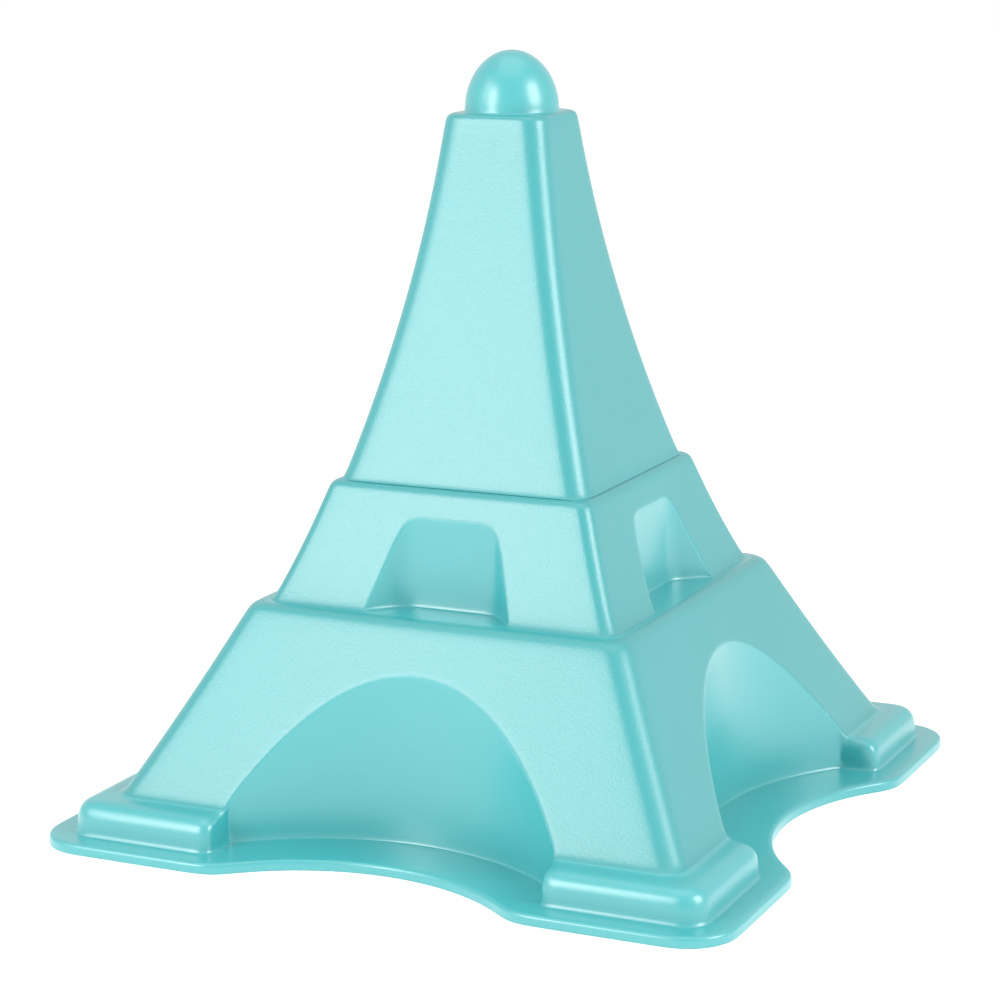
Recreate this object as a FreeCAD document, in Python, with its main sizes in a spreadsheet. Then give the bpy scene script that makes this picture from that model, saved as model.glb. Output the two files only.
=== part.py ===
import FreeCAD, Part
import math
import os

import Sketcher
from FreeCAD import Rotation, Vector

# A child's sand mould shaped like a four-legged tower, moulded in one piece as a thin
# shell that is open underneath. It is built as its regions: the flange, the four foot
# blocks, the three tiers and the dome on top, which meet face to face at the creases.
# +Z is up, the origin is the centre of the base, and the front faces -Y. Millimetres.

os.makedirs("parts", exist_ok=True)
doc = FreeCAD.newDocument("SandMould")

dimensions = {
    "wall": (2.0, "thickness of the shell"),
    "flangeHalf": (100.0, "half the width of the base flange"),
    "flangeThick": (3.0, "thickness of the flange"),
    "flangeCorner": (14.0, "radius of the flange's corners"),
    "flangeEdge": (1.3, "rounding along the flange's upper edge"),
    "dipRadius": (60.0, "inward curve of the flange between two feet"),
    "dipCentre": (141.7, "distance of that curve's centre from the axis"),
    "dipBlend": (12.0, "curve that joins it to the straight edge"),
    "footHalfLow": (92.6, "half width over the foot blocks at the flange"),
    "footHalfHigh": (91.8, "half width over the foot blocks at their top"),
    "footTop": (12.0, "height of the foot blocks' top"),
    "footCorner": (7.0, "radius of their outer corners"),
    "footEdge": (4.0, "rounding along the foot blocks' outer top edge"),
    "lowerHalfLow": (83.0, "half width of the lower tier at its foot"),
    "lowerHalfHigh": (56.0, "half width of the lower tier at its top"),
    "lowerTop": (63.0, "height of the ledge on the lower tier"),
    "lowerCorner": (5.8, "corner radius of the lower tier"),
    "lowerSag": (0.6, "how far its sides curve in at mid height"),
    "lowerEdge": (4.0, "rounding along its top edge"),
    "middleHalfLow": (51.2, "half width of the middle tier at its foot"),
    "middleHalfHigh": (38.8, "half width of the middle tier at its top"),
    "middleTop": (95.5, "height of the ledge on the middle tier"),
    "middleCorner": (3.7, "corner radius of the middle tier"),
    "middleSag": (0.6, "how far its sides curve in at mid height"),
    "middleEdge": (2.8, "rounding along its top edge"),
    "spireHalfLow": (36.9, "half width of the spire at its foot"),
    "spireHalfHigh": (14.9, "half width of the spire at its top"),
    "spireTop": (194.4, "height of the spire's top"),
    "spireCorner": (5.8, "corner radius of the spire"),
    "spireSag": (2.4, "how far its sides curve in at mid height"),
    "spireEdge": (2.2, "rounding along its top edge"),
    "domeRadius": (13.0, "radius of the dome at its base"),
    "domeRise": (16.6, "height of the dome"),
    "archRadius": (70.0, "radius of the upright wall behind each arch"),
    "archCentre": (132.5, "distance of that wall's centre from the axis"),
    "archHalf": (48.0, "half the gap between two foot blocks"),
    "windowBack": (41.3, "distance of a window's flat back from the axis"),
    "windowHalf": (21.8, "half width of a window in line with the tier's foot"),
    "windowLean": (39.0, "degrees that a window's sides slant"),
    "windowCorner": (6.0, "radius of a window's inner corners"),
    "cutReach": (110.0, "how far from the axis the side cuts run"),
}

sheet = doc.addObject("Spreadsheet::Sheet", "Sizes")
for row, (alias, (number, note)) in enumerate(dimensions.items(), start=1):
    sheet.set(f"A{row}", alias)
    sheet.set(f"B{row}", str(number))
    sheet.set(f"C{row}", note)
    sheet.setAlias(f"B{row}", alias)
doc.recompute()


def size(alias):
    return getattr(sheet, alias)


# --- Sketch helpers ---

# A sketch on one of the body's own origin planes, named by its role.
def newSketch(body, name, role="XY_Plane"):
    sketch = body.newObject("Sketcher::SketchObject", name)
    plane = next(f for f in body.Origin.OriginFeatures if f.Role == role)
    sketch.AttachmentSupport = [(plane, "")]
    sketch.MapMode = "FlatFace"
    return sketch


def constrain(sketch, *parts):
    return sketch.addConstraint(Sketcher.Constraint(*parts))


# A constraint whose value is bound to the sheet by an expression.
def drive(sketch, name, expression, *parts):
    sketch.renameConstraint(constrain(sketch, *parts), name)
    sketch.setExpression(f"Constraints.{name}", expression)


def line(start, end):
    return Part.LineSegment(Vector(*start, 0), Vector(*end, 0))


# An anticlockwise arc between two angles in degrees.
def arc(centre, radius, first, last):
    circle = Part.Circle(Vector(*centre, 0), Vector(0, 0, 1), radius)
    return Part.ArcOfCircle(circle, math.radians(first), math.radians(last))


def turned(point, quarter):
    turn = Rotation(Vector(0, 0, 1), 90 * quarter)
    spot = turn.multVec(Vector(*point, 0))
    return (spot.x, spot.y)


# The side view of a tier: level at its foot and top, with sides that are straight or
# curve in by sag. Each level is a first guess for the solver and an expression.
def tierOutline(body, name, role, bottom, top, low, high, sag):
    sketch = newSketch(body, name, role)
    waist, middle = (low[0] + high[0]) / 2 - 1, (bottom[0] + top[0]) / 2
    foot, head = (low[0], bottom[0]), (high[0], top[0])
    sketch.addGeometry(line((-foot[0], foot[1]), foot))
    if sag:
        side = Part.Circle(*(Vector(*spot, 0) for spot in (foot, (waist, middle), head)))
        hubX, hubY = side.Center.x, side.Center.y
        upper, lower = (math.degrees(math.atan2(y - hubY, hubX - x)) for x, y in (head, foot))
        sketch.addGeometry(arc((hubX, hubY), side.Radius, 180 - upper, 180 - lower))
    else:
        sketch.addGeometry(line(head, foot))
    sketch.addGeometry(line(head, (-head[0], head[1])))
    if sag:
        sketch.addGeometry(arc((-hubX, hubY), side.Radius, lower, upper))
        sketch.addGeometry(Part.Point(Vector(waist, middle, 0)), True)
    else:
        sketch.addGeometry(line((-foot[0], foot[1]), (-head[0], head[1])))
    for one, end, other, otherEnd in ((0, 2, 1, 2), (1, 1, 2, 1), (2, 2, 3, 2), (3, 1, 0, 1)):
        constrain(sketch, "Coincident", one, end, other, otherEnd)
    constrain(sketch, "Symmetric", 0, 1, 0, 2, -2)
    constrain(sketch, "Symmetric", 2, 1, 2, 2, -2)
    drive(sketch, "low", low[1], "DistanceX", -1, 1, 0, 2, low[0])
    drive(sketch, "high", high[1], "DistanceX", -1, 1, 2, 1, high[0])
    drive(sketch, "bottom", bottom[1], "DistanceY", -1, 1, 0, 2, bottom[0])
    drive(sketch, "top", top[1], "DistanceY", -1, 1, 2, 1, top[0])
    if sag:
        constrain(sketch, "Equal", 1, 3)
        constrain(sketch, "PointOnObject", 4, 1, 1)
        drive(sketch, "waist", f"({low[1]} + {high[1]}) / 2 - {sag}",
              "DistanceX", -1, 1, 4, 1, waist)
        drive(sketch, "middle", f"({bottom[1]} + {top[1]}) / 2",
              "DistanceY", -1, 1, 4, 1, middle)
    return sketch


# The flange's outline: straight by the feet, dipping in between them.
def flangeOutline(body, name):
    sketch = newSketch(body, name)
    half, corner = size("flangeHalf"), size("flangeCorner")
    dip, centre, blend = size("dipRadius"), size("dipCentre"), size("dipBlend")
    blendY = blend - half
    blendX = math.sqrt((dip + blend) ** 2 - (centre + blendY) ** 2)
    swing = math.degrees(math.atan2(blendX, centre + blendY))
    flat = half - corner
    for quarter in range(4):
        lean = 90 * quarter
        sketch.addGeometry(line(turned((-flat, -half), quarter), turned((-blendX, -half), quarter)))
        sketch.addGeometry(arc(turned((-blendX, blendY), quarter), blend, lean - 90, lean - 90 + swing))
        sketch.addGeometry(arc(turned((0, -centre), quarter), dip, lean + 90 - swing, lean + 90 + swing))
        sketch.addGeometry(arc(turned((blendX, blendY), quarter), blend, lean - 90 - swing, lean - 90))
        sketch.addGeometry(line(turned((blendX, -half), quarter), turned((flat, -half), quarter)))
        sketch.addGeometry(arc(turned((flat, -flat), quarter), corner, lean - 90, lean))
    for quarter in range(4):
        first = 6 * quarter
        straight = "Vertical" if quarter % 2 else "Horizontal"
        axis = -1 if quarter % 2 else -2
        constrain(sketch, straight, first)
        constrain(sketch, straight, first + 4)
        constrain(sketch, "Tangent", first, 2, first + 1, 1)
        # The dip's arc runs the other way round, so its ends swap.
        constrain(sketch, "Tangent", first + 1, 2, first + 2, 2)
        constrain(sketch, "Tangent", first + 2, 1, first + 3, 1)
        constrain(sketch, "Tangent", first + 3, 2, first + 4, 1)
        constrain(sketch, "Tangent", first + 4, 2, first + 5, 1)
        constrain(sketch, "Tangent", first + 5, 2, (first + 6) % 24, 1)
        constrain(sketch, "PointOnObject", first + 2, 3, axis)
        constrain(sketch, "Equal", first + 1, first + 3)
        if quarter:
            for step in (1, 2, 5):
                constrain(sketch, "Equal", step, first + step)
    drive(sketch, "corner", "Sizes.flangeCorner", "Radius", 5, corner)
    drive(sketch, "dip", "Sizes.dipRadius", "Radius", 2, dip)
    drive(sketch, "blend", "Sizes.dipBlend", "Radius", 1, blend)
    drive(sketch, "front", "Sizes.flangeHalf", "DistanceY", 0, 1, -1, 1, half)
    drive(sketch, "right", "Sizes.flangeHalf", "DistanceX", -1, 1, 6, 1, half)
    drive(sketch, "back", "Sizes.flangeHalf", "DistanceY", -1, 1, 12, 1, half)
    drive(sketch, "left", "Sizes.flangeHalf", "DistanceX", 18, 1, -1, 1, half)
    drive(sketch, "dipFront", "Sizes.dipCentre", "DistanceY", 2, 3, -1, 1, centre)
    drive(sketch, "dipRight", "Sizes.dipCentre", "DistanceX", -1, 1, 8, 3, centre)
    drive(sketch, "dipBack", "Sizes.dipCentre", "DistanceY", -1, 1, 14, 3, centre)
    drive(sketch, "dipLeft", "Sizes.dipCentre", "DistanceX", 20, 3, -1, 1, centre)
    return sketch


# The gap between two feet with the round wall behind it, seen from above.
def archProfile(body, name, offset):
    sketch = newSketch(body, name)
    half, radius = size("archHalf"), size("archRadius")
    centre, reach = size("archCentre"), size("cutReach")
    swing = math.degrees(math.asin(half / radius))
    shoulder = math.sqrt(radius**2 - half**2) - centre
    sketch.addGeometry(arc((0, -centre), radius, 90 - swing, 90 + swing))
    sketch.addGeometry(line((-half, shoulder), (-half, -reach)))
    sketch.addGeometry(line((-half, -reach), (half, -reach)))
    sketch.addGeometry(line((half, -reach), (half, shoulder)))
    for edge in range(4):
        constrain(sketch, "Coincident", edge, 2, (edge + 1) % 4, 1)
    constrain(sketch, "Vertical", 1)
    constrain(sketch, "PointOnObject", 0, 3, -2)
    constrain(sketch, "Symmetric", 0, 1, 0, 2, -2)
    constrain(sketch, "Symmetric", 2, 1, 2, 2, -2)
    drive(sketch, "centre", "Sizes.archCentre", "DistanceY", 0, 3, -1, 1, centre)
    drive(sketch, "radius", f"Sizes.archRadius + {offset}", "Radius", 0, radius)
    drive(sketch, "gap", f"2 * (Sizes.archHalf + {offset})", "DistanceX", 2, 1, 2, 2, 2 * half)
    drive(sketch, "reach", "Sizes.cutReach", "DistanceY", 2, 1, -1, 1, reach)
    return sketch


# A window recess seen from above: a flat back between two slanting sides.
def windowProfile(body, name, offset):
    sketch = newSketch(body, name)
    lean, radius = math.radians(size("windowLean")), size("windowCorner")
    back, reach = size("windowBack"), size("cutReach")
    mouth = size("windowHalf") + (reach - size("middleHalfLow")) * math.tan(lean)
    sharp = mouth - (reach - back) * math.tan(lean)
    bend = radius * math.tan((math.pi / 2 - lean) / 2)
    flat = sharp - bend
    side = (sharp + bend * math.sin(lean), -back - bend * math.cos(lean))
    sketch.addGeometry(line((flat, -back), (-flat, -back)))
    sketch.addGeometry(arc((-flat, -back - radius), radius, 90, 180 - size("windowLean")))
    sketch.addGeometry(line((-side[0], side[1]), (-mouth, -reach)))
    sketch.addGeometry(line((-mouth, -reach), (mouth, -reach)))
    sketch.addGeometry(line((mouth, -reach), side))
    sketch.addGeometry(arc((flat, -back - radius), radius, size("windowLean"), 90))
    for edge in (0, 1, 4, 5):
        constrain(sketch, "Tangent", edge, 2, (edge + 1) % 6, 1)
    for edge in (2, 3):
        constrain(sketch, "Coincident", edge, 2, edge + 1, 1)
    constrain(sketch, "Symmetric", 0, 1, 0, 2, -2)
    constrain(sketch, "Symmetric", 3, 1, 3, 2, -2)
    constrain(sketch, "Equal", 1, 5)
    drive(sketch, "corner", f"Sizes.windowCorner + {offset}", "Radius", 1, radius)
    drive(sketch, "back", f"Sizes.windowBack - {offset}", "DistanceY", 0, 1, -1, 1, back)
    drive(sketch, "reach", "Sizes.cutReach", "DistanceY", 3, 1, -1, 1, reach)
    drive(sketch, "mouth",
          "2 * (Sizes.windowHalf + (Sizes.cutReach - Sizes.middleHalfLow) * tan(Sizes.windowLean)"
          f" + {offset} / cos(Sizes.windowLean))",
          "DistanceX", 3, 1, 3, 2, 2 * mouth)
    drive(sketch, "slope", "90 + Sizes.windowLean", "Angle", 4, math.pi / 2 + lean)
    return sketch


# --- Solid helpers ---

# Extrudes the side view both ways and keeps what the two have in common, which is a
# tapering square block. Its four upright edges are then rounded.
def taperedBlock(name, bottom, top, low, high, corner, sag=None):
    blocks = []
    for suffix, role in (("", "XZ_Plane"), ("Across", "YZ_Plane")):
        body = doc.addObject("PartDesign::Body", name + suffix)
        pad = body.newObject("PartDesign::Pad", name + suffix + "Pad")
        pad.Profile = tierOutline(body, name + suffix + "View", role, bottom, top, low, high, sag)
        pad.Midplane = True
        pad.setExpression("Length", "2 * Sizes.cutReach")
        body.Tip = pad
        blocks.append(body)
    block, across = blocks
    common = block.newObject("PartDesign::Boolean", name + "Common")
    common.Type = "Common"
    common.setObjects([across])
    block.Tip = common
    return roundEdges(block, name + "Corners", corner, lambda box: box.ZLength > 1)


# The outside of a tier that stands on the level named by floor.
def tierOutside(tier, floor, sag=None):
    spans = [(size(alias), f"Sizes.{alias}")
             for alias in (floor, f"{tier}Top", f"{tier}HalfLow", f"{tier}HalfHigh")]
    block = taperedBlock(f"{tier}Outside", *spans, f"Sizes.{tier}Corner", sag)
    nearTop = size(f"{tier}Top") - 1
    return roundEdges(block, f"{tier}Rim", f"Sizes.{tier}Edge", lambda box: box.ZMin > nearTop)


# The hollow of the same tier. It sits one wall lower, so it also moves in by less than
# one wall: by the run that keeps the slanting side one wall thick.
def tierHollow(tier, floor, sag):
    slope = f"((Sizes.{tier}HalfLow - Sizes.{tier}HalfHigh) / (Sizes.{tier}Top - Sizes.{floor}))"
    run = f"Sizes.wall * (sqrt(1 + {slope} ^ 2) - {slope})"
    spans = [(size(alias), f"(Sizes.{alias} - {shift})")
             for alias, shift in ((floor, "Sizes.wall"), (f"{tier}Top", "Sizes.wall"),
                                  (f"{tier}HalfLow", run), (f"{tier}HalfHigh", run))]
    return taperedBlock(f"{tier}Hollow", *spans, f"Sizes.{tier}Corner - Sizes.wall / 2", sag)


# Rounds those of a body's edges whose bounding boxes are wanted.
def roundEdges(body, name, radius, wanted):
    doc.recompute()
    base = body.Tip
    edges = [f"Edge{index}" for index, edge in enumerate(base.Shape.Edges, start=1)
             if wanted(edge.BoundBox)]
    fillet = body.newObject("PartDesign::Fillet", name)
    fillet.Base = (base, edges)
    fillet.setExpression("Radius", radius)
    body.Tip = fillet
    doc.recompute()
    return body


# Cuts one side profile up through a body, once on each of its four sides.
def cutSides(body, profile, name, offset):
    doc.recompute()
    before = body.Shape.Volume
    sketch = profile(body, name + "Profile", offset)
    pocket = body.newObject("PartDesign::Pocket", name + "Cut")
    pocket.Profile = sketch
    pocket.Type = "ThroughAll"
    pocket.Midplane = True
    pattern = body.newObject("PartDesign::PolarPattern", name + "Pattern")
    pattern.Originals = [pocket]
    axis = next(f for f in body.Origin.OriginFeatures if f.Role == "Z_Axis")
    pattern.Axis = (axis, [""])
    pattern.Angle = 360
    pattern.Occurrences = 4
    body.Tip = pattern
    doc.recompute()
    if body.Shape.Volume > before - 1:
        raise RuntimeError(f"{name} cut nothing from {body.Name}")
    return body


def combine(kind, name, first, second):
    result = doc.addObject(f"Part::{kind}", name)
    result.Base = first
    result.Tool = second
    return result


def fuse(name, shapes):
    result = doc.addObject("Part::MultiFuse", name)
    result.Shapes = shapes
    result.Refine = True
    return result


# --- The hollow: everything inside the shell, as one tool shape ---

footHollow = taperedBlock(
    "footHollow",
    (-size("wall"), "-Sizes.wall"),
    (size("footTop"), "(Sizes.footTop - Sizes.wall)"),
    (size("footHalfLow"), "(Sizes.footHalfLow - Sizes.wall)"),
    (size("footHalfHigh"), "(Sizes.footHalfHigh - Sizes.wall)"),
    "Sizes.footCorner - Sizes.wall")
cutSides(footHollow, archProfile, "footHollowArch", "Sizes.wall")

lowerHollow = tierHollow("lower", "footTop", "Sizes.lowerSag")
cutSides(lowerHollow, archProfile, "lowerHollowArch", "Sizes.wall")
middleHollow = tierHollow("middle", "lowerTop", "Sizes.middleSag")
cutSides(middleHollow, windowProfile, "middleHollowWindow", "Sizes.wall")
spireHollow = tierHollow("spire", "middleTop", "Sizes.spireSag")

neckHollow = doc.addObject("Part::Cylinder", "neckHollow")
neckHollow.setExpression("Radius", "Sizes.domeRadius - Sizes.wall")
neckHollow.setExpression("Height", "Sizes.wall")
neckHollow.setExpression("Placement.Base.z", "Sizes.spireTop - Sizes.wall")


# The upper half of an egg shape that stands on the spire; less is its inset.
def domeShape(name, less):
    dome = doc.addObject("Part::Ellipsoid", name)
    dome.setExpression("Radius1", f"Sizes.domeRise - {less}")
    dome.setExpression("Radius2", f"Sizes.domeRadius - {less}")
    dome.setExpression("Radius3", f"Sizes.domeRadius - {less}")
    dome.Angle1 = 0
    dome.setExpression("Placement.Base.z", "Sizes.spireTop")
    return dome


domeHollow = domeShape("domeHollow", "Sizes.wall")
hollow = fuse("hollow", [footHollow, lowerHollow, middleHollow, spireHollow, neckHollow, domeHollow])

# --- Flange ---

flangeBody = doc.addObject("PartDesign::Body", "flangePlate")
flangePad = flangeBody.newObject("PartDesign::Pad", "flangePad")
flangePad.Profile = flangeOutline(flangeBody, "flangeOutline")
flangePad.setExpression("Length", "Sizes.flangeThick")
flangeBody.Tip = flangePad
roundEdges(flangeBody, "flangeRim", "Sizes.flangeEdge", lambda box: box.ZMin > 1)
baseFlange = combine("Cut", "base_flange", flangeBody, hollow)

# --- Foot blocks: the corners of one ring of wall ---

footOutside = tierOutside("foot", "flangeThick")
cutSides(footOutside, archProfile, "footArch", "0")
footRing = combine("Cut", "footRing", footOutside, hollow)

footBlocks = []
corners = []
for sideY, front in ((-1, "front"), (1, "back")):
    for sideX, hand in ((-1, "left"), (1, "right")):
        corner = doc.addObject("Part::Box", f"corner_{front}_{hand}")
        for edge in ("Length", "Width"):
            corner.setExpression(edge, "Sizes.cutReach - Sizes.archHalf")
        corner.setExpression("Height", "2 * Sizes.footTop")
        for letter, side in (("x", sideX), ("y", sideY)):
            near = "Sizes.archHalf" if side > 0 else "-Sizes.cutReach"
            corner.setExpression(f"Placement.Base.{letter}", near)
        corners.append(corner)
        footBlocks.append(combine("Common", f"foot_block_{front}_{hand}", footRing, corner))

# --- Lower tier: the legs, the arch walls down to the flange, and the ledge on top ---

lowerOutside = tierOutside("lower", "footTop", "Sizes.lowerSag")
cutSides(lowerOutside, archProfile, "lowerArch", "0")
lowerShell = combine("Cut", "lowerShell", lowerOutside, hollow)
archFeet = combine("Cut", "archFeet", footRing, fuse("allCorners", corners))
lowerTier = fuse("lower_tier", [lowerShell, archFeet])

# --- Middle tier with its windows ---

middleOutside = tierOutside("middle", "lowerTop", "Sizes.middleSag")
cutSides(middleOutside, windowProfile, "middleWindow", "0")
middleTier = combine("Cut", "middle_tier", middleOutside, hollow)

# --- Spire and dome ---

spireOutside = tierOutside("spire", "middleTop", "Sizes.spireSag")
spire = combine("Cut", "spire", spireOutside, hollow)
finialDome = combine("Cut", "finial_dome", domeShape("domeOutside", "0"), hollow)

# --- Checks and export ---

nodes = [baseFlange, *footBlocks, lowerTier, middleTier, spire, finialDome]
doc.recompute()
for item in doc.Objects:
    if {"Invalid", "Error"} & set(item.State):
        raise RuntimeError(f"{item.Name} failed: {item.State}")
for node in nodes:
    node.Label = node.Name
    if node.Shape.isNull() or not node.Shape.isValid() or len(node.Shape.Solids) != 1:
        raise RuntimeError(f"{node.Label} is not one valid solid")
for node in nodes:
    node.Shape.exportStep(f"parts/{node.Label}.step")
    box = node.Shape.BoundBox
    print(f"{node.Label}: {node.Shape.Volume / 1000:.2f} cm3, z {box.ZMin:.2f} to {box.ZMax:.2f},"
          f" {box.XLength:.2f} x {box.YLength:.2f}")
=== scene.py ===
import math

import bmesh
import bpy
from mathutils import Matrix, Vector


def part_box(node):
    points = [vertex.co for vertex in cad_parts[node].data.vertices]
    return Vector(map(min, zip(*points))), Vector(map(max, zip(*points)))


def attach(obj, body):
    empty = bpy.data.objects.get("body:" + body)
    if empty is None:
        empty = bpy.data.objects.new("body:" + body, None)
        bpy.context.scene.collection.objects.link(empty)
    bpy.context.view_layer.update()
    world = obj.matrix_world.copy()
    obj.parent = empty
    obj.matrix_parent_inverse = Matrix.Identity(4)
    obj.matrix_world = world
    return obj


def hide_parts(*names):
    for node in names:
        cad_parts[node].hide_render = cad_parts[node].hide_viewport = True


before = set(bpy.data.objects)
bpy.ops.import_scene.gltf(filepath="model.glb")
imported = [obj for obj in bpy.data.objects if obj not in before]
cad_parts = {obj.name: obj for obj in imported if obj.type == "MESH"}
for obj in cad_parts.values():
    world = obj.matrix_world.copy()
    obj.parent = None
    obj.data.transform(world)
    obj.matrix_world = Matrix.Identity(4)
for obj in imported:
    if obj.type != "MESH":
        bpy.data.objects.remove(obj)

print("frame loaded:", ", ".join(sorted(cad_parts)))
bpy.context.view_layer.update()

mm = 0.001  # sizes below are in millimetres, and the meshes are made in metres


# Levels and outer half widths come from the frame.
def topOf(node):
    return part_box(node)[1].z / mm


def halfOf(node):
    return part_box(node)[1].x / mm


levels = {
    "flange": topOf("base_flange"),
    "foot": topOf("foot_block_front_left"),
    "lower": topOf("lower_tier"),
    "middle": topOf("middle_tier"),
    "spire": topOf("spire"),
    "tip": topOf("finial_dome"),
}

shell = {
    "wall": 2.0,  # thickness of the moulding
    "cornerSteps": 3,  # cage faces from a corner's start to its diagonal
    "across": 4,  # cage faces from a recess's edge to a tier's outline
    "down": 6,  # cage faces down a recess's wall
    "smoothLevels": 2,
    "toe": 0.6,  # tiny fillet where a wall meets the level below
    "flare": 0.48,  # how far that fillet spreads outward
    "sink": 0.03,  # how far that fillet's rim lies inside the level below
}


# A tier's half width at a height: straight, but drawn in by sag at mid height.
def halfAt(tier, z, inset=0.0):
    height = tier["top"] - tier["low"]
    share = (z - tier["low"]) / height
    run = tier["halfLow"] - tier["halfHigh"]
    drawnIn = 4 * tier["sag"] * share * (1 - share)
    return tier["halfLow"] - run * share - drawnIn - inset / math.cos(leanAt(tier, z))


def leanAt(tier, z):
    height = tier["top"] - tier["low"]
    share = (z - tier["low"]) / height
    run = tier["halfLow"] - tier["halfHigh"]
    return math.atan((run + 4 * tier["sag"] * (1 - 2 * share)) / height)


# The height at which a tier has a given half width.
def heightAt(tier, half, inset=0.0):
    below, above = tier["low"] - 10, tier["top"] + 10
    for _ in range(40):
        middle = (below + above) / 2
        if halfAt(tier, middle, inset) > half:
            below = middle
        else:
            above = middle
    return (below + above) / 2


def mix(a, b, share):
    return a + (b - a) * share


# The corner arc of a rounded square, from the front face to the diagonal.
def cornerArc(half, radius, z, steps=shell["cornerSteps"]):
    hub = half - radius
    turns = [math.radians(-90 + 45 * step / steps) for step in range(steps + 1)]
    return [Vector((hub + radius * math.cos(a), -hub + radius * math.sin(a), z)) for a in turns]


# Half of one side of a rounded square ring: along the face, then round to the diagonal.
def ring(half, radius, z, columns):
    flat = half - radius
    return [Vector((flat * i / columns, -half, z)) for i in range(columns)] + cornerArc(half, radius, z)


# The rounding from a tier's sloping side to its level top: (half width, height) pairs.
def rimSteps(tier, inset, steps=3):
    top = tier["top"] - inset
    radius = max(tier["rim"] - inset, 0.8)
    lean = leanAt(tier, top)
    hub = halfAt(tier, top, inset) - radius * math.tan((math.pi / 2 - lean) / 2)
    turns = [mix(lean, math.pi / 2, i / steps) for i in range(steps + 1)]
    pairs = [(hub + radius * math.cos(a), top - radius + radius * math.sin(a)) for a in turns]
    pairs[0] = (halfAt(tier, pairs[0][1], inset), pairs[0][1])
    return pairs


# Moves an outline outward in plan, keeping its ends on the middle line and the diagonal.
def flared(outline, distance, z):
    moved = []
    for i, spot in enumerate(outline):
        if i == 0:
            way = Vector((0, -1, 0))
        elif i == len(outline) - 1:
            way = Vector((1, -1, 0))
        else:
            before, after = spot - outline[i - 1], outline[i + 1] - spot
            way = Vector((before.y, -before.x, 0)).normalized() + Vector((after.y, -after.x, 0)).normalized()
        moved.append(Vector((spot.x, spot.y, z)) + way.normalized() * distance)
    return moved


# Rows down a wall from its edge: a support below the edge, even rows, and one for the toe.
def dropRows(height, edge, count):
    edge, toe = min(edge, height * 0.3), min(shell["toe"], height * 0.3)
    return [0.0, *(mix(edge, height - toe, i / (count - 2)) for i in range(count - 1)), height]


# --- patches become a skin ---

def layPatch(bm, rows, region):
    made = bmesh.ops.create_grid(bm, x_segments=len(rows[0]) - 1, y_segments=len(rows) - 1, size=1)
    regions = bm.faces.layers.int["region"]
    for vert, spot in zip(made["verts"], (spot for row in rows for spot in row)):
        vert.co = spot * mm
    for face in {face for vert in made["verts"] for face in vert.link_faces}:
        face[regions] = region


# Lays half a side, mirrors it and repeats it on all four sides.
def wholeCage(patches):
    bm = bmesh.new()
    bm.faces.layers.int.new("region")
    for rows, region in patches:
        layPatch(bm, rows, region)
    bmesh.ops.mirror(bm, geom=bm.verts[:] + bm.edges[:] + bm.faces[:],
                     matrix=Matrix.Identity(4), merge_dist=1e-6, axis="X")
    bmesh.ops.spin(bm, geom=bm.verts[:] + bm.edges[:] + bm.faces[:], cent=(0, 0, 0), axis=(0, 0, 1),
                   angle=math.tau * 3 / 4, steps=3, use_duplicate=True)
    bm.verts.ensure_lookup_table()
    bm.verts.index_update()
    return bm


def smoothed(mesh):
    cage = bpy.data.objects.new("cage", mesh)
    bpy.context.collection.objects.link(cage)
    smooth = cage.modifiers.new("smooth", "SUBSURF")
    smooth.levels = smooth.render_levels = shell["smoothLevels"]
    skin = bpy.data.meshes.new_from_object(cage.evaluated_get(bpy.context.evaluated_depsgraph_get()))
    bpy.data.objects.remove(cage)
    return skin


# Welds each cage by the first one's shape, so that all the skins match vertex for vertex.
def smoothSkins(*patchSets):
    cages = [wholeCage(patches) for patches in patchSets]
    doubles = bmesh.ops.find_doubles(cages[0], verts=cages[0].verts[:], dist=4e-6)["targetmap"]
    pairs = [(vert.index, target.index) for vert, target in doubles.items()]
    for bm in cages:
        verts = bm.verts[:]
        bmesh.ops.weld_verts(bm, targetmap={verts[a]: verts[b] for a, b in pairs})
    bmesh.ops.recalc_face_normals(cages[0], faces=cages[0].faces[:])
    first = bpy.data.meshes.new("cage")
    cages[0].to_mesh(first)
    meshes = [first]
    for bm in cages[1:]:
        mesh = first.copy()
        for vert, spot in zip(mesh.vertices, bm.verts):
            vert.co = spot.co
        meshes.append(mesh)
    for bm in cages:
        bm.free()
    return [smoothed(mesh) for mesh in meshes]


# Keeps one region of a skin, in one quarter if asked.
def cutOut(skin, region, quarter):
    bm = bmesh.new()
    bm.from_mesh(skin)
    regions = bm.faces.layers.int["region"]
    others = []
    for face in bm.faces:
        centre = face.calc_center_median()
        elsewhere = quarter and (centre.x * quarter[0] < 0 or centre.y * quarter[1] < 0)
        if face[regions] // 10 != region or elsewhere:
            others.append(face)
    bmesh.ops.delete(bm, geom=others, context="FACES")
    mesh = bpy.data.meshes.new("part")
    bm.to_mesh(mesh)
    bm.free()
    return mesh


# A closed wall between an outer skin and its matching inner skin.
def wallPiece(outer, inner, region, quarter=None):
    outside, inside = cutOut(outer, region, quarter), cutOut(inner, region, quarter)
    holder = bpy.data.objects.new("holder", outside)
    bpy.context.collection.objects.link(holder)
    thicken = holder.modifiers.new("thicken", "SOLIDIFY")
    thicken.thickness, thicken.offset = shell["wall"] * mm, -1
    mesh = bpy.data.meshes.new_from_object(holder.evaluated_get(bpy.context.evaluated_depsgraph_get()))
    bpy.data.objects.remove(holder)
    count = len(outside.vertices)
    for i, vert in enumerate(inside.vertices):
        mesh.vertices[count + i].co = vert.co
    return finished(mesh)


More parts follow.
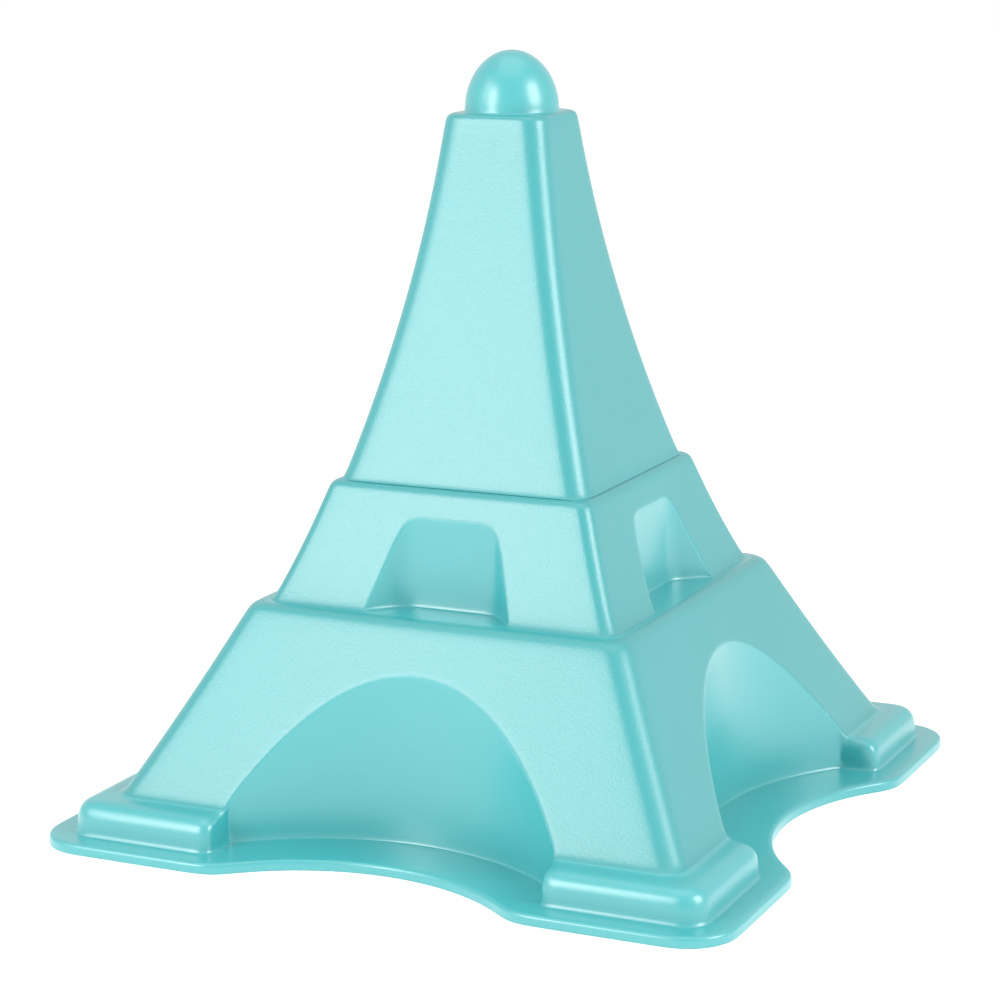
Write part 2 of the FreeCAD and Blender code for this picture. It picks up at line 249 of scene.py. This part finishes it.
def finished(mesh):
    bm = bmesh.new()
    bm.from_mesh(mesh)
    bmesh.ops.recalc_face_normals(bm, faces=bm.faces[:])
    bm.to_mesh(mesh)
    bm.free()
    mesh.shade_smooth()
    mesh.set_sharp_from_angle(angle=math.radians(50))
    return mesh


print("helpers ready")

# --- walls of the tiers ---

# A tier's face around its recess: columns fan out from the recess's edge to the tier's outline.
def facePatch(tier, inset, edge, outline):
    across = shell["across"]
    rows = [[] for _ in range(across + 1)]
    for start, end in zip(edge, outline):
        length = (end - start).length
        near = min(tier["edge"] / length, 0.3)
        for k in range(across + 1):
            share = mix(near, 1, (k - 1) / (across - 1)) if k else 0.0
            z = mix(start.z, end.z, share)
            rows[k].append(Vector((mix(start.x, end.x, share), -halfAt(tier, z, inset), z)))
    return rows


# The face's outline: along under the rim, then down beside the corner.
def faceOutline(tier, inset, bottom):
    half, start = rimSteps(tier, inset)[0]
    radius = tier["corner"] - inset
    count = tier["topColumns"]
    top = [Vector(((half - radius) * i / count, -half, start)) for i in range(count + 1)]
    heights = [mix(start, bottom, share) for share in tier["sideRows"]]
    return top + [Vector((halfAt(tier, z, inset) - radius, -halfAt(tier, z, inset), z)) for z in heights]


def cornerStrip(tier, inset, outline):
    side = outline[tier["topColumns"]:]
    return [cornerArc(halfAt(tier, spot.z, inset), tier["corner"] - inset, spot.z) for spot in side]


def rimPatch(tier, inset, columns):
    return [ring(half, tier["corner"] - inset, z, columns) for half, z in rimSteps(tier, inset)]


# Rows from one outline to another at the same level.
def levelPatch(first, last, shares):
    return [[a.lerp(b, share) for a, b in zip(first, last)] for share in shares]


meshes = {}  # each node's mesh, made from the tip down

# --- domed tip ---

dome = {
    "radius": halfOf("finial_dome"), "rise": levels["tip"] - levels["spire"],
    "steps": 96, "points": 24,
    "toe": 0.7,  # fillet at its foot
    "sink": 0.15,  # how far it reaches into the spire
}


def makeDome():
    low, radius, rise = levels["spire"], dome["radius"], dome["rise"]
    wall, toe, sink = shell["wall"], dome["toe"], dome["sink"]
    profile = []
    for i in range(4):
        turn = math.radians(270 - 30 * i)
        profile.append((radius + toe + toe * math.cos(turn), low - sink + toe + toe * math.sin(turn)))
    first = math.asin((toe - sink) / rise)
    turns = [mix(first, math.pi / 2, i / dome["points"]) for i in range(1, dome["points"] + 1)]
    profile += [(radius * math.cos(a), low + rise * math.sin(a)) for a in turns]
    turns = [math.pi / 2 * (1 - i / dome["points"]) for i in range(dome["points"] + 1)]
    profile += [((radius - wall) * math.cos(a), low + (rise - wall) * math.sin(a)) for a in turns]
    profile += [(radius - wall, low - sink)]
    bm = bmesh.new()
    made = bmesh.ops.create_circle(bm, segments=len(profile), radius=1)
    for vert, (x, z) in zip(made["verts"], profile):
        vert.co = Vector((max(x, 0) * mm, 0, z * mm))
    onAxis = [edge for edge in bm.edges if all(vert.co.x < 1e-7 for vert in edge.verts)]
    bmesh.ops.delete(bm, geom=onAxis, context="EDGES")
    bmesh.ops.spin(bm, geom=bm.verts[:] + bm.edges[:], cent=(0, 0, 0), axis=(0, 0, 1), angle=math.tau,
                   steps=dome["steps"], use_merge=True)
    bmesh.ops.remove_doubles(bm, verts=bm.verts[:], dist=2e-6)
    mesh = bpy.data.meshes.new("dome")
    bm.to_mesh(mesh)
    bm.free()
    return finished(mesh)


meshes["finial_dome"] = makeDome()
print("domed tip ready")


# --- spire ---

spireTier = {
    "low": levels["middle"], "top": levels["spire"],
    "halfLow": 36.9, "halfHigh": 14.9, "sag": 2.4,
    "corner": 5.8, "rim": 2.0, "columns": 4, "rows": 10,
}


def spirePatches(inset, flare):
    tier, columns = spireTier, spireTier["columns"]
    radius, bottom = tier["corner"] - inset, tier["low"]
    start = rimSteps(tier, inset)[0][1]
    spread = shell["flare"] if flare else 0.0
    rows = [ring(halfAt(tier, bottom, inset) + spread, radius + spread, bottom - shell["sink"], columns)]
    for i in range(tier["rows"]):
        z = mix(bottom + shell["toe"], start, i / tier["rows"])
        rows.append(ring(halfAt(tier, z, inset), radius, z, columns))
    rows += rimPatch(tier, inset, columns)
    steps = columns + shell["cornerSteps"]
    reach = dome["radius"] - shell["wall"]
    turns = [math.radians(-90 + 45 * i / steps) for i in range(steps + 1)]
    hole = [Vector((reach * math.cos(a), reach * math.sin(a), tier["top"] - inset)) for a in turns]
    return [(rows, 10), (levelPatch(rows[-1], hole, (0, 0.5, 1)), 11)]


outer, inner = smoothSkins(spirePatches(0, True), spirePatches(shell["wall"], False))
meshes["spire"] = wallPiece(outer, inner, 1)
print("spire ready")


# --- middle tier ---

middleTier = {
    "low": levels["lower"], "top": levels["middle"],
    "halfLow": 51.2, "halfHigh": 38.8, "sag": 0.6,
    "corner": 3.7, "rim": 2.8, "edge": 1.6,
    "topColumns": 4,
    "sideRows": [0.3, 0.65, 0.97, 1.0],
    "windowBack": 41.3, "windowHalf": 21.8, "windowLean": math.radians(39), "windowCorner": 6.0,
}


# Plan of a window recess from the middle of its back to its mouth, for a level of the tier's foot.
def windowPlan(inset, z, alongBack, alongSide):
    tier, lean = middleTier, middleTier["windowLean"]
    back, radius = tier["windowBack"] - inset, tier["windowCorner"] + inset
    mouthY = -tier["halfLow"]
    run = (-back - mouthY - inset * math.sin(lean)) / math.cos(lean)
    meetX = tier["windowHalf"] + inset * math.cos(lean) - run * math.sin(lean)
    hubX = meetX - radius * math.tan((math.pi / 2 - lean) / 2)
    plan = [Vector((hubX * share, -back, z)) for share in alongBack]
    for turn in (math.pi / 2, (math.pi / 2 + lean) / 2, lean):
        x, y = hubX + radius * math.cos(turn), -back - radius + radius * math.sin(turn)
        plan.append(Vector((x, y, z)))
    endX, endY = plan[-1].x, plan[-1].y
    length = (halfAt(tier, tier["low"], inset) + endY) / math.cos(lean)
    for share in alongSide:
        x, y = endX + length * share * math.sin(lean), endY - length * share * math.cos(lean)
        plan.append(Vector((x, y, z)))
    return plan


def middlePatches(inset, flare):
    tier, across, down = middleTier, shell["across"], shell["down"]
    bottom = tier["low"] - shell["sink"]
    outline = faceOutline(tier, inset, bottom)
    last = len(outline) - 1
    plan = windowPlan(inset, bottom, [0, 0.6], [0.33, 0.66, 0.96, 1])
    edge = [Vector((spot.x, spot.y, heightAt(tier, -spot.y, inset))) for spot in plan]
    edge[-1] = Vector((plan[-1].x, -halfAt(tier, bottom, inset), bottom))
    face = facePatch(tier, inset, edge, outline)
    strip = cornerStrip(tier, inset, outline)
    window = [[] for _ in range(down + 1)]
    for spot in edge:
        for row, drop in zip(window, dropRows(spot.z - bottom, tier["edge"], down)):
            row.append(Vector((spot.x, spot.y, spot.z - drop)))
    if flare:
        foundation = window[-1] + [row[last] for row in face[1:]] + strip[-1][1:]
        moved = flared(foundation, shell["flare"], bottom)
        window[-1] = moved[:last + 1]
        for row in window:
            row[last] = moved[last]
        for k, row in enumerate(face):
            row[last] = moved[last + k]
        strip[-1] = moved[last + across:]
    rimRows = rimPatch(tier, inset, tier["topColumns"])
    half = halfAt(spireTier, spireTier["low"], shell["wall"])
    hole = ring(half, spireTier["corner"] - shell["wall"], tier["top"] - inset, tier["topColumns"])
    return [(face, 10), (strip, 10), (window, 11), (rimRows, 10),
            (levelPatch(rimRows[-1], hole, (0, 0.4, 1)), 11)]


outer, inner = smoothSkins(middlePatches(0, True), middlePatches(shell["wall"], False))
meshes["middle_tier"] = wallPiece(outer, inner, 1)
print("middle tier ready")


# --- lower tier and foot blocks: one skin, cut into pieces later ---

foot = {
    "halfLow": halfOf("foot_block_front_right"),
    "halfHigh": halfOf("foot_block_front_right") - 0.8,
    "corner": 7.0,
    "rim": 4.0,
    "side": 48.0,  # where its end wall stands, across from the middle
    "endSupport": 5.5,  # from its upright front edge to the next cage line
    "toe": 2.6,  # from the leg's foot to the next cage line on the block's top
}

lowerTier = {
    "low": levels["foot"], "top": levels["lower"],
    "halfLow": 83.0, "halfHigh": 56.0, "sag": 0.6,
    "corner": 5.8, "rim": 4.0, "edge": 1.6,
    "topColumns": 7,
    "sideRows": [0.27, 0.54, 0.80, 0.89, 0.945, 1.0],  # shares of the way down a corner
    "legCut": 2,  # cage rows of the leg that belong to its foot block
    "archRadius": 70.0, "archCentre": 132.5,
}


def footHalf(z, inset):
    share = (z - levels["flange"]) / (levels["foot"] - levels["flange"])
    return mix(foot["halfLow"], foot["halfHigh"], share) - inset


# The block's rows from its level top down its walls: (share of the rounding left, height).
def blockRows(inset, rim):
    top = levels["foot"] - inset
    turns = [math.radians(30 * i) for i in range(4)]
    rows = [(rim * (1 - math.sin(a)), top - rim * (1 - math.cos(a))) for a in turns]
    low = levels["flange"]
    return rows + [(0.0, mix(rows[-1][1], low + shell["toe"], 0.6)), (0.0, low + shell["toe"]),
                   (0.0, low - shell["sink"])]


def lowerPatches(inset, flare):
    tier, across, down = lowerTier, shell["across"], shell["down"]
    bottom, low = levels["foot"] - inset, levels["flange"] - shell["sink"]
    radius, side = tier["archRadius"] + inset, foot["side"] + inset
    rim = max(foot["rim"] - inset, 1.5)
    outline = faceOutline(tier, inset, bottom)
    last = len(outline) - 1

    # The arch's edge, and its foot where the leg meets the block.
    edge = []
    for i in range(last):
        turn = math.asin(side / radius) * i / (last - 1)
        y = radius * math.cos(turn) - tier["archCentre"]
        edge.append(Vector((radius * math.sin(turn), y, heightAt(tier, -y, inset))))
    groove = edge[-1].y
    edge.append(Vector((side, -halfAt(tier, bottom, inset), bottom)))
    face = facePatch(tier, inset, edge, outline)
    strip = cornerStrip(tier, inset, outline)

    # The arch's wall.
    arch = [[] for _ in range(down + 1)]
    for i, spot in enumerate(edge):
        for row, drop in zip(arch, dropRows(spot.z - low, tier["edge"], down)):
            y = mix(spot.y, groove, min(1.0, drop / 4)) if i == last else spot.y
            row.append(Vector((spot.x, y, spot.z - drop)))

    # The block: its end wall, its front wall and corner, and its top.
    rows = blockRows(inset, rim)
    toeHalf = halfAt(tier, bottom, inset)
    midY, midRim = -(toeHalf + foot["toe"]), rim * 0.6
    endWall, front = [], []
    for i, (shift, z) in enumerate(rows):
        middle = blockRows(inset, midRim)[i]
        half = footHalf(z, inset) - shift
        corner = Vector((side + shift, -half, z))
        endWall.append([arch[i][last], Vector((side + middle[0], midY, middle[1])), corner])
        arc = cornerArc(half, foot["corner"] - inset - shift, z)
        support = side + foot["endSupport"]
        along = [mix(support, arc[0].x, k / (across - 1)) for k in range(across - 1)]
        front.append([corner, *(Vector((x, -half, z)) for x in along), *arc])
    toeRow = [row[last] for row in face] + strip[-1][1:]
    arc = cornerArc(toeHalf + foot["toe"], tier["corner"] - inset + foot["toe"], bottom)
    middleRow = [endWall[0][1]]
    for k in range(1, across):
        middleRow.append(Vector((mix(toeRow[k].x, front[0][k].x, 0.4), midY, bottom)))
    middleRow += arc

    # The walls' foot, flared a little where it meets the flange.
    foundation = arch[-1] + endWall[-1][1:] + front[-1][1:]
    if flare:
        moved = flared(foundation, shell["flare"], low)
        arch[-1] = moved[:last + 1]
        endWall[-1] = moved[last:last + 3]
        front[-1] = moved[last + 2:]

    # The level top, in as far as the inside of the middle tier.
    rimRows = rimPatch(tier, inset, tier["topColumns"])
    hole = windowPlan(shell["wall"], tier["top"] - inset, [0], [1])
    half = halfAt(middleTier, middleTier["low"], shell["wall"])
    innerCorner = middleTier["corner"] - shell["wall"]
    mouth = hole[-1].x
    hole += [Vector((mix(mouth, half - innerCorner, share), -half, hole[0].z)) for share in (0.33, 0.67)]
    hole += cornerArc(half, innerCorner, hole[0].z)
    ledge = levelPatch(rimRows[-1], hole, (0, 0.3, 0.7, 1))

    cut = last - tier["legCut"]
    count = tier["topColumns"]
    return [
        ([row[:cut + 1] for row in face], 10), ([row[cut:] for row in face], 20),
        ([row[:cut + 1] for row in arch], 11), ([row[cut:] for row in arch], 21),
        (strip[:cut - count + 1], 10), (strip[cut - count:], 20),
        (rimRows, 10), (ledge, 11),
        ([toeRow, middleRow, front[0]], 21), (front, 21), (endWall, 21),
    ], foundation


lowerOutside, _ = lowerPatches(0, True)
lowerInside, innerFoot = lowerPatches(shell["wall"], False)
outer, inner = smoothSkins(lowerOutside, lowerInside)
meshes["lower_tier"] = wallPiece(outer, inner, 1)
quarters = {"front_left": (-1, -1), "front_right": (1, -1), "back_left": (-1, 1), "back_right": (1, 1)}
for name, quarter in quarters.items():
    meshes["foot_block_" + name] = wallPiece(outer, inner, 2, quarter)
print("lower tier and foot blocks ready")


# --- base flange: a closed plate around the walls' foot ---

flange = {
    "half": halfOf("base_flange"), "corner": 14.0,
    "dipRadius": 60.0, "dipCentre": 141.7, "dipBlend": 12.0,
    "roundTop": 2.0, "roundBottom": 0.7,
    "border": 0.4,  # close-set cage lines that keep its inner edge crisp
}


def flangeOutline():
    half, blend, centre = flange["half"], flange["dipBlend"], flange["dipCentre"]
    reach = flange["dipRadius"] + blend
    blendY = -(half - blend)
    blendX = math.sqrt(reach ** 2 - (centre + blendY) ** 2)
    turnEnd = math.asin(blendX / reach)
    dip = len(lowerTier["sideRows"]) + lowerTier["topColumns"]
    outline = []
    for i in range(dip + 1):
        turn = turnEnd * i / dip
        radius = flange["dipRadius"]
        outline.append(Vector((radius * math.sin(turn), radius * math.cos(turn) - centre, 0)))
    for share in (0.5, 1):
        turn = turnEnd * (1 - share)
        outline.append(Vector((blendX - blend * math.sin(turn), blendY - blend * math.cos(turn), 0)))
    straight, count = half - flange["corner"] - blendX, shell["across"]
    outline += [Vector((blendX + straight * k / count, -half, 0)) for k in range(1, count)]
    return outline + cornerArc(half, flange["corner"], 0)


def flangePatch(hole):
    edge, top, border = flangeOutline(), levels["flange"], flange["border"]
    inner = [Vector((spot.x, spot.y, 0)) for spot in hole]
    near = [a + (b - a).normalized() * border for a, b in zip(inner, edge)]
    inset = flared(edge, -flange["roundTop"], 0)
    between = [a.lerp(b, 0.5) for a, b in zip(near, inset)]
    section = [
        (near, top), (inner, top), (inner, top - border), (inner, border), (inner, 0),
        (near, 0), (between, 0),
        (flared(edge, -flange["roundBottom"], 0), 0), (edge, 0), (edge, flange["roundBottom"]),
        (edge, top - flange["roundTop"] + 0.1), (edge, top), (inset, top), (between, top), (near, top),
    ]
    return [[Vector((spot.x, spot.y, z)) for spot in outline] for outline, z in section]


meshes["base_flange"] = finished(smoothSkins([(flangePatch(innerFoot), 11)])[0])
print("flange ready")

# --- materials ---

plastic = {
    # One plastic in two tones. The first colour is for the tiers' faces. The second, paler and whiter, is
    # for the other parts: partly the plastic's own turquoise, partly a painted sheen standing in for soft
    # white reflection.
    "faceColourWithoutPaintedSheen": (0.016, 0.305, 0.318),
    "colour": (0.04, 0.375, 0.392),
    "roughness": 0.36,
    "smoothRoughness": 0.32,
    "domeRoughness": 0.32,
    "specular": 0.8,
    "skin": 0.75,  # weight of the glossy skin over the colour
    "sheen": 1.6,  # refractive index of that skin
    "grain": 1.0,  # strength of the fine cast grain on the tiers' faces
    "smoothGrain": 0.08,
    "grainSize": 1600.0,
}


# One shader socket that takes part in sums.
class Wire:
    def __init__(self, tree, socket):
        self.tree, self.socket = tree, socket

    # Adds any node: its type, its settings, and what its inputs take.
    def node(self, kind, settings=None, inputs=None, output=0):
        made = self.tree.nodes.new(kind)
        for name, value in (settings or {}).items():
            setattr(made, name, value)
        for name, value in (inputs or {}).items():
            if isinstance(value, Wire):
                self.tree.links.new(value.socket, made.inputs[name])
            else:
                made.inputs[name].default_value = value
        return Wire(self.tree, made.outputs[output] if made.outputs else None)

    def maths(self, operation, *values):
        return self.node("ShaderNodeMath", {"operation": operation}, dict(enumerate(values)))

    def __add__(self, other):
        return self.maths("ADD", self, other)

    def __sub__(self, other):
        return self.maths("SUBTRACT", self, other)

    def __mul__(self, other):
        return self.maths("MULTIPLY", self, other)

    def __truediv__(self, other):
        return self.maths("DIVIDE", self, other)

    def __rsub__(self, other):
        return self.maths("SUBTRACT", other, self)

    def __rtruediv__(self, other):
        return self.maths("DIVIDE", other, self)

    __radd__ = __add__
    __rmul__ = __mul__

    # Spreads this value's range from 0 to 1 onto another range, clamped.
    def toRange(self, low, high, newLow, newHigh):
        return self.node("ShaderNodeMapRange", {"clamp": True}, {
            "Value": self, "From Min": low, "From Max": high, "To Min": newLow, "To Max": newHigh})

    def mixColour(self, first, second):
        return self.node("ShaderNodeMix", {"data_type": "RGBA"},
                         {0: self, 6: (*first, 1), 7: (*second, 1)}, output=2)


def newMaterial(name):
    material = bpy.data.materials.new(name)
    material.use_nodes = True
    material.node_tree.nodes.clear()
    start = Wire(material.node_tree, None)
    return material, start


def tinted(colour, scale):
    return tuple(min(1.0, part * scale) for part in colour)


def plasticMaterial(name, tint, roughness, grain):
    material, start = newMaterial(name)
    place = start.node("ShaderNodeTexCoord", output=3)
    broad = start.node("ShaderNodeTexNoise", None, {"Vector": place, "Scale": 14.0, "Detail": 2.0})
    fine = start.node("ShaderNodeTexNoise", None,
                      {"Vector": place, "Scale": plastic["grainSize"], "Detail": 2.0, "Roughness": 0.6})
    colour = broad.toRange(0.3, 0.7, 0, 1).mixColour(
        tinted(tint, 0.97), tinted(tint, 1.03))
    rough = broad.toRange(0.3, 0.7, roughness - 0.015, roughness + 0.015) + (fine - 0.5) * 0.1
    inputs = {"Base Color": colour, "Roughness": rough, "Specular IOR Level": plastic["specular"],
              "Coat Weight": plastic["skin"], "Coat Roughness": roughness, "Coat IOR": plastic["sheen"]}
    if grain:
        inputs["Normal"] = start.node("ShaderNodeBump", None,
                                      {"Strength": grain, "Distance": 0.0001, "Height": fine})
    shader = start.node("ShaderNodeBsdfPrincipled", None, inputs)
    start.node("ShaderNodeOutputMaterial", None, {"Surface": shader})
    return material


satin = plasticMaterial(
    "turquoisePlastic", plastic["faceColourWithoutPaintedSheen"], plastic["roughness"], plastic["grain"])
smooth = plasticMaterial(
    "smoothPlasticPaintedSheen", plastic["colour"], plastic["smoothRoughness"], plastic["smoothGrain"])
gloss = plasticMaterial("polishedPlasticPaintedSheen", plastic["colour"], plastic["domeRoughness"], 0)

# The faces have the cast grain; recesses, ledges, blocks and the flange are smoother. These smoother parts
# and the dome take the paler, whiter colour, which is partly the plastic's own turquoise and partly a
# painted sheen.
blocks = ["foot_block_" + name for name in quarters]
for node in ["lower_tier", *blocks, "middle_tier", "spire", "finial_dome", "base_flange"]:
    mesh = meshes[node]
    first, *others = node.split("_")
    label = first + "".join(word.title() for word in others)
    mesh.name = label
    piece = bpy.data.objects.new(label, mesh)
    bpy.context.collection.objects.link(piece)
    mesh.materials.clear()
    if node == "finial_dome":
        mesh.materials.append(gloss)
    elif node == "base_flange":
        mesh.materials.append(smooth)
    else:
        mesh.materials.append(satin)
        mesh.materials.append(smooth)
        for polygon, region in zip(mesh.polygons, mesh.attributes["region"].data):
            polygon.material_index = region.value % 10
    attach(piece, "root")
    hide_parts(node)
    "polished_dome" if node == "finial_dome" else "turquoise_shell"
print("materials ready")

# --- floor, light and camera ---

studio = {
    "floor": 0.93,
    "floorGlow": 0.25,
    "world": 0.81,
    "lens": 105.24, "azimuth": 25.03, "elevation": 12.23, "roll": -0.45,
    "cameraSpot": (0.33686, -0.73116, 0.25983),
}

# Soft boxes: bearing from the front and height in degrees, distance and size in metres, radiance, colour.
softBoxes = {
    "key": (-25, 20, 1.2, (0.34, 0.66), 7.7, (1.0, 1.0, 1.0)),
    "side": (-47, 28, 1.2, (0.4, 0.66), 2.2, (1.0, 1.0, 1.0)),
    "fill": (85, 26, 1.3, (0.6, 0.7), 6.8, (1.0, 1.0, 1.0)),
    "overhead": (10, 86, 1.5, (1.4, 1.4), 0.8, (1.0, 1.0, 1.0)),
}


def makeFloor():
    bm = bmesh.new()
    bmesh.ops.create_grid(bm, x_segments=1, y_segments=1, size=6)
    mesh = bpy.data.meshes.new("floor")
    bm.to_mesh(mesh)
    bm.free()
    floor = bpy.data.objects.new("floor", mesh)
    bpy.context.collection.objects.link(floor)
    material, start = newMaterial("floorPaper")
    shader = start.node("ShaderNodeBsdfPrincipled", None, {
        "Base Color": (studio["floor"],) * 3 + (1,), "Roughness": 0.9, "Specular IOR Level": 0.1,
        "Emission Color": (1, 1, 1, 1), "Emission Strength": studio["floorGlow"]})
    start.node("ShaderNodeOutputMaterial", None, {"Surface": shader})
    mesh.materials.append(material)


def makeLight(name, bearing, height, distance, size, radiance, colour):
    data = bpy.data.lights.new(name, "AREA")
    data.shape, data.size, data.size_y = "RECTANGLE", size[0], size[1]
    data.energy, data.color = radiance * math.pi * size[0] * size[1], colour
    light = bpy.data.objects.new(name, data)
    turn, rise = math.radians(bearing), math.radians(height)
    way = Vector((math.sin(turn) * math.cos(rise), -math.cos(turn) * math.cos(rise), math.sin(rise)))
    light.location = Vector((0, 0, 0.1)) + way * distance
    light.rotation_euler = way.to_track_quat("Z", "Y").to_euler()
    bpy.context.collection.objects.link(light)


def makeWorld():
    world = bpy.data.worlds.new("studio")
    world.use_nodes = True
    world.node_tree.nodes.clear()
    start = Wire(world.node_tree, None)
    glow = start.node("ShaderNodeBackground", None, {"Color": (1, 1, 1, 1), "Strength": studio["world"]})
    start.node("ShaderNodeOutputWorld", None, {"Surface": glow})
    bpy.context.scene.world = world


def makeCamera():
    data = bpy.data.cameras.new("camera")
    data.sensor_width, data.lens = 36, studio["lens"]
    data.clip_start, data.clip_end = 0.05, 50
    camera = bpy.data.objects.new("camera", data)
    turn, rise, roll = (math.radians(studio[key]) for key in ("azimuth", "elevation", "roll"))
    camera.matrix_world = (
        Matrix.Translation(studio["cameraSpot"])
        @ Matrix.Rotation(turn, 4, "Z") @ Matrix.Rotation(math.pi / 2 - rise, 4, "X")
        @ Matrix.Rotation(roll, 4, "Z"))
    bpy.context.collection.objects.link(camera)
    bpy.context.scene.camera = camera


makeFloor()
makeWorld()
for name, settings in softBoxes.items():
    makeLight(name, *settings)
makeCamera()
bpy.context.scene.view_settings.view_transform = "Standard"
print("stage ready")
